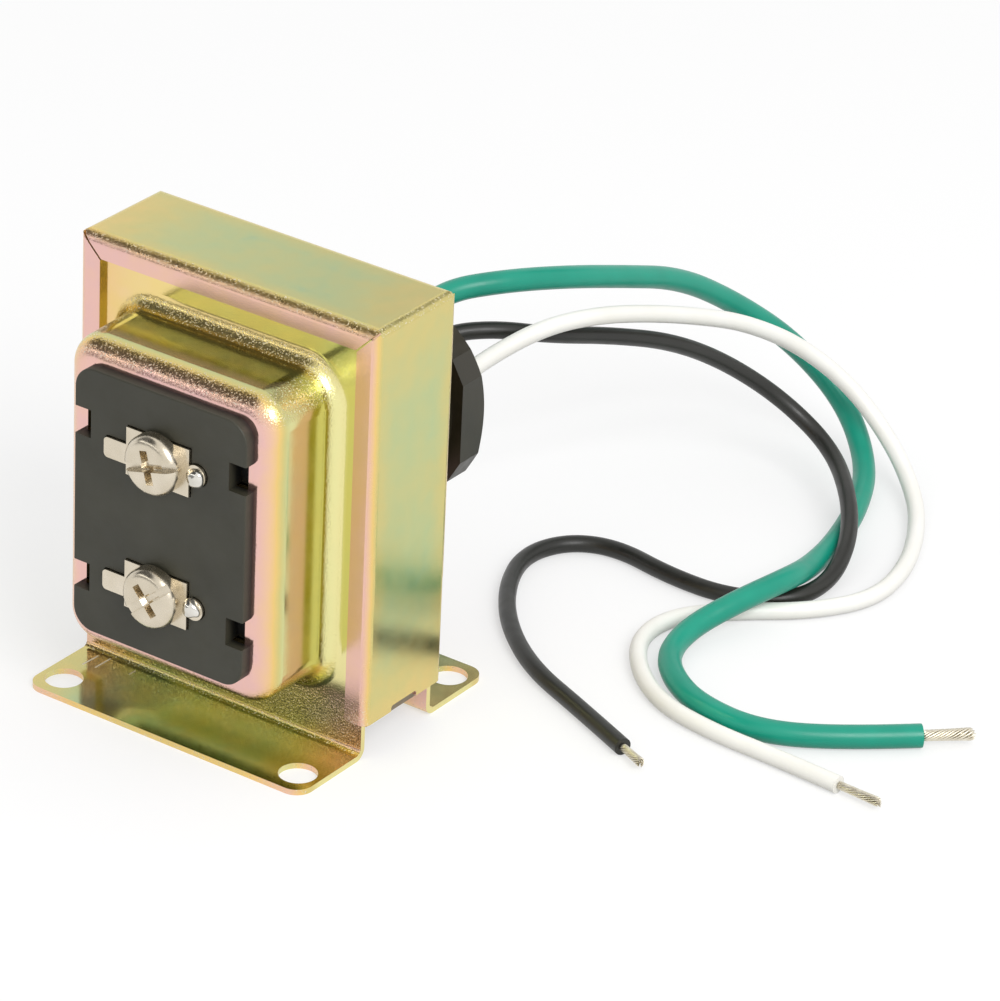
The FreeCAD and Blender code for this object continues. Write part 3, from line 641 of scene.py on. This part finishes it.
# %% Surface grain and slow wander
grain_peaks = (0.46, 0.78)
grain_detail = 3.0
wander_limits = (0.25, 0.75)
wander_detail = 2.0
grain_group, grain_in, grain_out = new_group(
    "surface_grain",
    [("Scale", "NodeSocketFloat", 1000.0), ("Depth", "NodeSocketFloat", 0.00001),
     ("Share", "NodeSocketFloat", 1.0)],
    [("Normal", "NodeSocketVector"), ("Value", "NodeSocketFloat")])
grain_noise = noise(grain_group, grain_in.outputs["Scale"], grain_detail)
grain_rise = add_node(grain_group, "ShaderNodeMapRange",
                      {"Value": grain_noise, "From Min": grain_peaks[0], "From Max": grain_peaks[1]})
grain_height = product(grain_group, grain_rise.outputs[0], grain_in.outputs["Share"])
grain_bump = add_node(grain_group, "ShaderNodeBump",
                      {"Height": grain_height, "Distance": grain_in.outputs["Depth"]})
grain_group.links.new(grain_bump.outputs["Normal"], grain_out.inputs["Normal"])
grain_group.links.new(grain_noise, grain_out.inputs["Value"])

wander_group, wander_in, wander_out = new_group(
    "slow_wander",
    [("Scale", "NodeSocketFloat", 60.0), ("Low", "NodeSocketFloat", 0.0), ("High", "NodeSocketFloat", 1.0)],
    [("Value", "NodeSocketFloat")])
wander_noise = noise(wander_group, wander_in.outputs["Scale"], wander_detail)
wander_range = add_node(wander_group, "ShaderNodeMapRange",
                        {"Value": wander_noise, "From Min": wander_limits[0], "From Max": wander_limits[1],
                         "To Min": wander_in.outputs["Low"], "To Max": wander_in.outputs["High"]})
wander_group.links.new(wander_range.outputs[0], wander_out.inputs["Value"])
print("shared effects:", grain_group.name, wander_group.name)

# %% [markdown]
# ## Scratch line
# A scratch is a straight line on the surface. Its mask is one near the line from the first point to the
# last, and falls to nought at the width.

# %% Scratch line
scratch_core = 0.5
scratch_group, scratch_in, scratch_out = new_group(
    "scratch_line",
    [("First", "NodeSocketVector", (0, 0, 0)), ("Last", "NodeSocketVector", (0, 0, 0)),
     ("Width", "NodeSocketFloat", 0.0001)],
    [("Value", "NodeSocketFloat")])
scratch_place = add_node(scratch_group, "ShaderNodeTexCoord").outputs["Object"]
from_first = vector_sum(scratch_group, "SUBTRACT", scratch_place, scratch_in.outputs["First"])
whole = vector_sum(scratch_group, "SUBTRACT", scratch_in.outputs["Last"], scratch_in.outputs["First"])
share = arithmetic(scratch_group, "DIVIDE", vector_sum(scratch_group, "DOT_PRODUCT", from_first, whole, 1),
                   vector_sum(scratch_group, "DOT_PRODUCT", whole, whole, 1))
held = add_node(scratch_group, "ShaderNodeClamp", {"Value": share}).outputs[0]
nearest = add_node(scratch_group, "ShaderNodeVectorMath", {0: whole, "Scale": held}, operation="SCALE")
off_line = vector_sum(scratch_group, "DISTANCE", from_first, nearest.outputs[0], 1)
scratch_mask = add_node(scratch_group, "ShaderNodeMapRange",
                        {"Value": off_line, "From Min": scratch_in.outputs["Width"],
                         "From Max": product(scratch_group, scratch_in.outputs["Width"], scratch_core)})
scratch_group.links.new(scratch_mask.outputs[0], scratch_out.inputs["Value"])
print("shared effect:", scratch_group.name)

# %% [markdown]
# ## Where the film changes
# The strap and the covers are zinc plated and dipped in a yellow passivating bath. The film is so thin
# that its thickness shows as colour, and it is thicker towards edges, rims and ends. Painting it by hand
# would need a picture, so these functions give the change of the film by the place on a piece. Each pair of
# numbers is where a change starts and where it ends, in metres, or as a share of the strap's half.

# %% Where the film changes
strap_edge = (0.45, 1.0)
strap_edge_film = 0.14
rim_depth = (0.0160, 0.0192)
rim_height = (0.0020, 0.0070)
rim_film = 0.28
web_height = (0.0095, 0.0070)
web_film = -0.02
foot_height = (0.0040, 0.0012)
foot_film = -0.05
foot_half = 0.0224
foot_ends = (0.0110, foot_half)
foot_ends_height = (0.0110, 0.0080)
foot_ends_film = 0.26


def strap_edges(tree, x, y, z):
    """Film by the nearness to an edge of the folded strap.

    nearness = max(|y|, min(|x|, |z - middle|)), each as a share of its half
    """
    low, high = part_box("strap_frame")
    across = share_of(tree, z, (low.z + high.z) / 2, (high.z - low.z) / 2)
    along = arithmetic(tree, "MINIMUM", share_of(tree, x, 0.0, high.x), across)
    nearness = arithmetic(tree, "MAXIMUM", along, share_of(tree, y, 0.0, high.y))
    return smooth_step(tree, nearness, *strap_edge, strap_edge_film)


def cover_edges(tree, x, y, z):
    """The film grows to the pan's rim, thins out on web and foot, and grows to the foot's two ends."""
    depth = arithmetic(tree, "ABSOLUTE", y)
    aside = arithmetic(tree, "ABSOLUTE", x)
    rim = product(tree, smooth_step(tree, depth, *rim_depth, rim_film), smooth_step(tree, z, *rim_height))
    web = smooth_step(tree, z, *web_height, web_film)
    foot = smooth_step(tree, z, *foot_height, foot_film)
    ends = product(tree, smooth_step(tree, aside, *foot_ends, foot_ends_film),
                   smooth_step(tree, z, *foot_ends_height))
    return total(tree, rim, web, foot, ends)


print("film:", strap_edges.__name__, "and", cover_edges.__name__)

# %% [markdown]
# ## Pale film, painted corner light and bends
# On the side walls of the covers the film is paler. In the inner corner beside the flange, more to the right,
# the colour is painted paler still: painted light that lifts the shade of the deep corner into a bright glow.
# Bends and fillets have been stretched by the press, so their surface is rougher than the flats. A bend is
# found by its normal, which points along none of the three axes.

# %% Pale film, painted corner light and bends
# The inner corner's share is painted light: it lifts the corner's shade, more on the right where the lamp
# stands.
corner_depth = (0.0115, 0.0082)
corner_right = (-0.0210, -0.0080)
corner_height = (0.0080, 0.0100)
corner_painted_light = 0.8
wall_depth = (0.0178, 0.0160)
wall_pale = 0.55
bend_normal = (0.995, 0.93)
bend_web_height = (0.0095, 0.0060)
bend_web = 0.6
flat_bend = 0.06


def pale_film_and_corner_light(tree, normal, x, y, z):
    """Share of pale colour: painted light in the inner corner beside the flange, more to the right, and paler
    film on the side walls.

    share = max(corner_painted_light * corner(|y|) * right(x) * above_the_web(z), wall_pale * wall(|y|) *
    nx^2)
    """
    depth = arithmetic(tree, "ABSOLUTE", y)
    corner = product(tree, smooth_step(tree, depth, *corner_depth, corner_painted_light),
                     smooth_step(tree, x, *corner_right), smooth_step(tree, z, *corner_height))
    wall = product(tree, smooth_step(tree, depth, *wall_depth, wall_pale), normal[0], normal[0])
    return arithmetic(tree, "MAXIMUM", corner, wall)


def bend_share(tree, normal, height):
    """How much a face is drawn or bent: one on bends and fillets, less on the low web, little on flats.

    bend = step(max(|nx|, |ny|, |nz|)); the web counts by ny^2 below the pan.
    """
    most = 0.0
    for axis in normal:
        most = arithmetic(tree, "MAXIMUM", arithmetic(tree, "ABSOLUTE", axis), most)
    bend = smooth_step(tree, most, *bend_normal)
    web = product(tree, smooth_step(tree, height, *bend_web_height, bend_web), normal[1], normal[1])
    return total(tree, arithmetic(tree, "MAXIMUM", bend, web), flat_bend)


print("masks:", pale_film_and_corner_light.__name__, "and", bend_share.__name__)

# %% [markdown]
# ## Passivated zinc
# A ramp turns the film into colour: teal and khaki where it is thin, gold in between, peach and pink where it
# is thicker. An orange-peel grain breaks up the reflections on the bends. On the bends that face up and low
# on the web, drawing has opened the film in fine pale points of bare zinc, which are also painted glints
# against the dark that these places reflect. Scratches go through to the zinc.

# %% Passivated zinc
FILM_COLOURS = [
    (0.00, screen(150, 194, 170)),
    (0.14, screen(190, 200, 146)),
    (0.30, screen(212, 200, 132)),
    (0.46, screen(236, 202, 128)),
    (0.60, screen(238, 198, 156)),
    (0.76, screen(234, 190, 180)),
    (1.00, screen(210, 180, 196)),
]
# Pale colours: paler film on the side walls, and painted light in the inner corner.
PALE_FILM_AND_CORNER_LIGHT = [
    (0.00, screen(238, 214, 146)),
    (0.55, screen(240, 218, 146)),
    (0.78, screen(236, 232, 168)),
]
FOOT_SCRATCHES = [
    ((-0.01950, -0.0118, 0.0008), (-0.01934, -0.0089, 0.0008), 0.00017),
    ((-0.01770, -0.0114, 0.0008), (-0.01763, -0.0085, 0.0008), 0.00017),
    ((-0.01315, -0.0100, 0.0008), (-0.01314, -0.0089, 0.0008), 0.00013),
]
bare_zinc_and_glint_colour = (0.86, 0.80, 0.66, 1)
bare_rough = 0.3
bare_dull = 0.9
slow_scale = 70.0
fine_scale = 420.0
fine_change = 0.03
gloss_scale = 400.0
bend_rough = 0.07
zinc_grain_scale = 3900.0
zinc_grain_depth = 0.000024
speckle_peaks = (0.56, 0.69)
speckle_share = 0.62
speckle_normal = (0.10, 0.45)
speckle_height = (0.0100, 0.0080)


def passivated_zinc(name, thin, facing, edges, slow_change, gloss, pale=None, marks=()):
    """film = thin + facing * ny^2 + edges(x, y, z) + slow and fine wander; colour = ramp(film), then paled.

    The speckle lies on bends that face up and low on the web: pale points of bare zinc that are also painted
    glints. Marks are scratches, given by their two ends and their width. Both show rough bare zinc.
    """
    material, tree, shader = new_material(name, Metallic=1.0)
    place = add_node(tree, "ShaderNodeTexCoord")
    normal = axes_of(tree, place.outputs["Normal"])
    x, y, z = axes_of(tree, place.outputs["Object"])
    slow = place_group(tree, wander_group, Scale=slow_scale, Low=-slow_change, High=slow_change)
    fine = place_group(tree, wander_group, Scale=fine_scale, Low=-fine_change, High=fine_change)
    film = total(tree, product(tree, normal[1], normal[1], facing), thin, edges(tree, x, y, z),
                 slow.outputs["Value"], fine.outputs["Value"])
    colour = colour_ramp(tree, film, FILM_COLOURS)
    # Paler film on the side walls and painted light in the inner corner are mixed in here.
    if pale:
        pale_and_lit_colour = colour_ramp(tree, share_of(tree, x, 0.0, foot_half), PALE_FILM_AND_CORNER_LIGHT)
        colour = mix_colours(tree, pale(tree, normal, x, y, z), colour, pale_and_lit_colour)
    bend = bend_share(tree, normal, z)
    rough = place_group(tree, wander_group, Scale=gloss_scale, Low=gloss[0], High=gloss[1]).outputs["Value"]
    rough = total(tree, rough, product(tree, bend, bend_rough))
    grain = place_group(tree, grain_group, Scale=zinc_grain_scale, Depth=zinc_grain_depth, Share=bend)
    # Painted glints: pale points of bare zinc at the grain's peaks, on bends that face up and low on the web,
    # also standing for opened film.
    speckle = smooth_step(tree, grain.outputs["Value"], *speckle_peaks, speckle_share)
    speckled = arithmetic(tree, "MAXIMUM", smooth_step(tree, normal[2], *speckle_normal),
                          smooth_step(tree, z, *speckle_height))
    wear_and_glints = [product(tree, speckle, speckled, bend)]
    for first, last, width in marks:
        scratch = place_group(tree, scratch_group, First=first, Last=last, Width=width)
        wear_and_glints.append(scratch.outputs["Value"])
    metal = 1.0
    for mark in wear_and_glints:
        colour = mix_colours(tree, mark, colour, bare_zinc_and_glint_colour)
        rough = total(tree, rough, product(tree, mark, bare_rough))
        metal = arithmetic(tree, "SUBTRACT", metal, product(tree, mark, bare_dull))
    tree.links.new(colour, shader.inputs["Base Color"])
    tree.links.new(rough, shader.inputs["Roughness"])
    tree.links.new(metal, shader.inputs["Metallic"])
    tree.links.new(grain.outputs["Normal"], shader.inputs["Normal"])
    return material


strap_zinc = passivated_zinc("strap_zinc", thin=0.18, facing=0.40, edges=strap_edges, slow_change=0.06,
                             gloss=(0.18, 0.24))
cover_zinc = passivated_zinc("cover_zinc", thin=0.15, facing=0.34, edges=cover_edges, slow_change=0.05,
                             gloss=(0.11, 0.16), pale=pale_film_and_corner_light, marks=FOOT_SCRATCHES)
print("finishes:", strap_zinc.name, cover_zinc.name)

# %% [markdown]
# ## Plain finishes
# The other materials have one colour with a little life in it: a slow change of shade, a grain in the
# height of the surface and a change of gloss, each at the scale that the real finish has. A row gives the
# material's name, its dark and light shade, its limits of roughness, the scale of its shade, the scale and
# the depth of its grain, and how far it is a metal.

# %% Plain finishes
FINISH_TABLE = {
    "board": ("board_plastic", (48, 47, 36), (60, 59, 47), (0.42, 0.55), 120.0, 5000.0, 4e-6, 0.0),
    "nickel": ("nickel_plate", (205, 194, 172), (226, 216, 198), (0.18, 0.34), 300.0, 4000.0, 3e-6, 1.0),
    "solder": ("solder", (210, 206, 196), (232, 230, 224), (0.08, 0.18), 500.0, 2500.0, 6e-6, 1.0),
    "tinned": ("tinned_strand", (212, 204, 184), (238, 232, 216), (0.28, 0.45), 900.0, 6000.0, 2e-6, 1.0),
    "hub": ("hub_plastic", (36, 33, 22), (48, 44, 30), (0.28, 0.40), 150.0, 4000.0, 4e-6, 0.0),
    "green": ("green_vinyl", (0, 142, 118), (6, 156, 130), (0.30, 0.40), 150.0, 3000.0, 3e-6, 0.0),
    "black": ("black_vinyl", (28, 28, 24), (38, 38, 33), (0.32, 0.44), 150.0, 3000.0, 3e-6, 0.0),
    "white": ("white_vinyl", (244, 242, 234), (250, 249, 244), (0.32, 0.42), 150.0, 3000.0, 3e-6, 0.0),
    "lamination": ("lamination_steel", (120, 108, 92), (150, 138, 118), (0.4, 0.6), 300.0, 3000.0, 6e-6, 0.8),
    "former": ("former_nylon", (214, 208, 190), (226, 221, 206), (0.45, 0.60), 150.0, 3000.0, 4e-6, 0.0),
    "copper": ("winding_copper", (176, 98, 54), (204, 124, 74), (0.25, 0.40), 500.0, 3000.0, 6e-6, 1.0),
    "tape": ("winding_tape", (214, 176, 60), (228, 192, 80), (0.25, 0.40), 150.0, 2000.0, 4e-6, 0.0),
}
gloss_finer = 4
# Depths behind the board's face over which its painted shade fades in.
board_dark_from = 0.0019
board_light_from = 0.0004


def simple_finish(name, dark, light, gloss, shade_scale, grain_scale, grain_depth, metal):
    """Base colour wanders between two shades, roughness between two limits, over a fine grain."""
    material, tree, shader = new_material(name, Metallic=metal)
    shade = place_group(tree, wander_group, Scale=shade_scale, Low=0.0, High=1.0)
    shades = [(0.0, screen(*dark)), (1.0, screen(*light))]
    tree.links.new(colour_ramp(tree, shade.outputs["Value"], shades), shader.inputs["Base Color"])
    rough = place_group(tree, wander_group, Scale=shade_scale * gloss_finer, Low=gloss[0], High=gloss[1])
    tree.links.new(rough.outputs["Value"], shader.inputs["Roughness"])
    grain = place_group(tree, grain_group, Scale=grain_scale, Depth=grain_depth)
    tree.links.new(grain.outputs["Normal"], shader.inputs["Normal"])
    return material


def paint_shade_behind(material, start, stop):
    """Multiply the base colour by a rise in |y|: painted shade on the legs and notch walls behind the face,
    where they lie in shadow.
    """
    tree = material.node_tree
    base = tree.nodes["Principled BSDF"].inputs["Base Color"]
    along_y = axes_of(tree, add_node(tree, "ShaderNodeTexCoord").outputs["Object"])[1]
    shade = smooth_step(tree, arithmetic(tree, "ABSOLUTE", along_y), start, stop)
    tree.links.new(mix_colours(tree, 1.0, base.links[0].from_socket, shade, blend_type="MULTIPLY"), base)


FINISHES = {key: simple_finish(*row) for key, row in FINISH_TABLE.items()}
board_face = -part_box("terminal_board")[0].y
# Painted shade: the board's legs and notch walls behind its face are darkened in the base colour.
paint_shade_behind(FINISHES["board"], board_face - board_dark_from, board_face - board_light_from)
print("finishes:", ", ".join(FINISHES))

# %% [markdown]
# ## Give each piece its finish
# Every piece of the frame and every new piece gets one material.

# %% Give each piece its finish


def set_finish(piece, material):
    """Replace a piece's materials by one."""
    piece.data.materials.clear()
    piece.data.materials.append(material)


PIECE_FINISH = {
    "strap_frame": strap_zinc, "front_cover": cover_zinc, "rear_cover": cover_zinc,
    "e_laminations": FINISHES["lamination"], "i_laminations": FINISHES["lamination"],
    "coil_former": FINISHES["former"], "terminal_board": FINISHES["board"],
    "primary_winding": FINISHES["copper"], "secondary_winding": FINISHES["copper"],
    "primary_wrap": FINISHES["tape"], "secondary_wrap": FINISHES["tape"],
    "lock_nut": FINISHES["hub"], "earth_terminal": FINISHES["nickel"],
}
for place in beads:
    PIECE_FINISH[place + "_terminal_plate"] = FINISHES["nickel"]
    PIECE_FINISH[place + "_terminal_screw"] = FINISHES["nickel"]
    PIECE_FINISH[place + "_secondary_tail"] = FINISHES["tinned"]
    set_finish(beads[place], FINISHES["solder"])
for name, material in PIECE_FINISH.items():
    set_finish(parts[name], material)
set_finish(hub, FINISHES["hub"])
for colour in LEADS:
    set_finish(sleeves[colour][0], FINISHES[colour])
    set_finish(strands[colour], FINISHES["tinned"])
print("pieces with a finish:", len(PIECE_FINISH) + len(beads) + 1 + 2 * len(LEADS))

# %% [markdown]
# ## End
# The scene is brought up to date once more.

# %% End
bpy.context.view_layer.update()
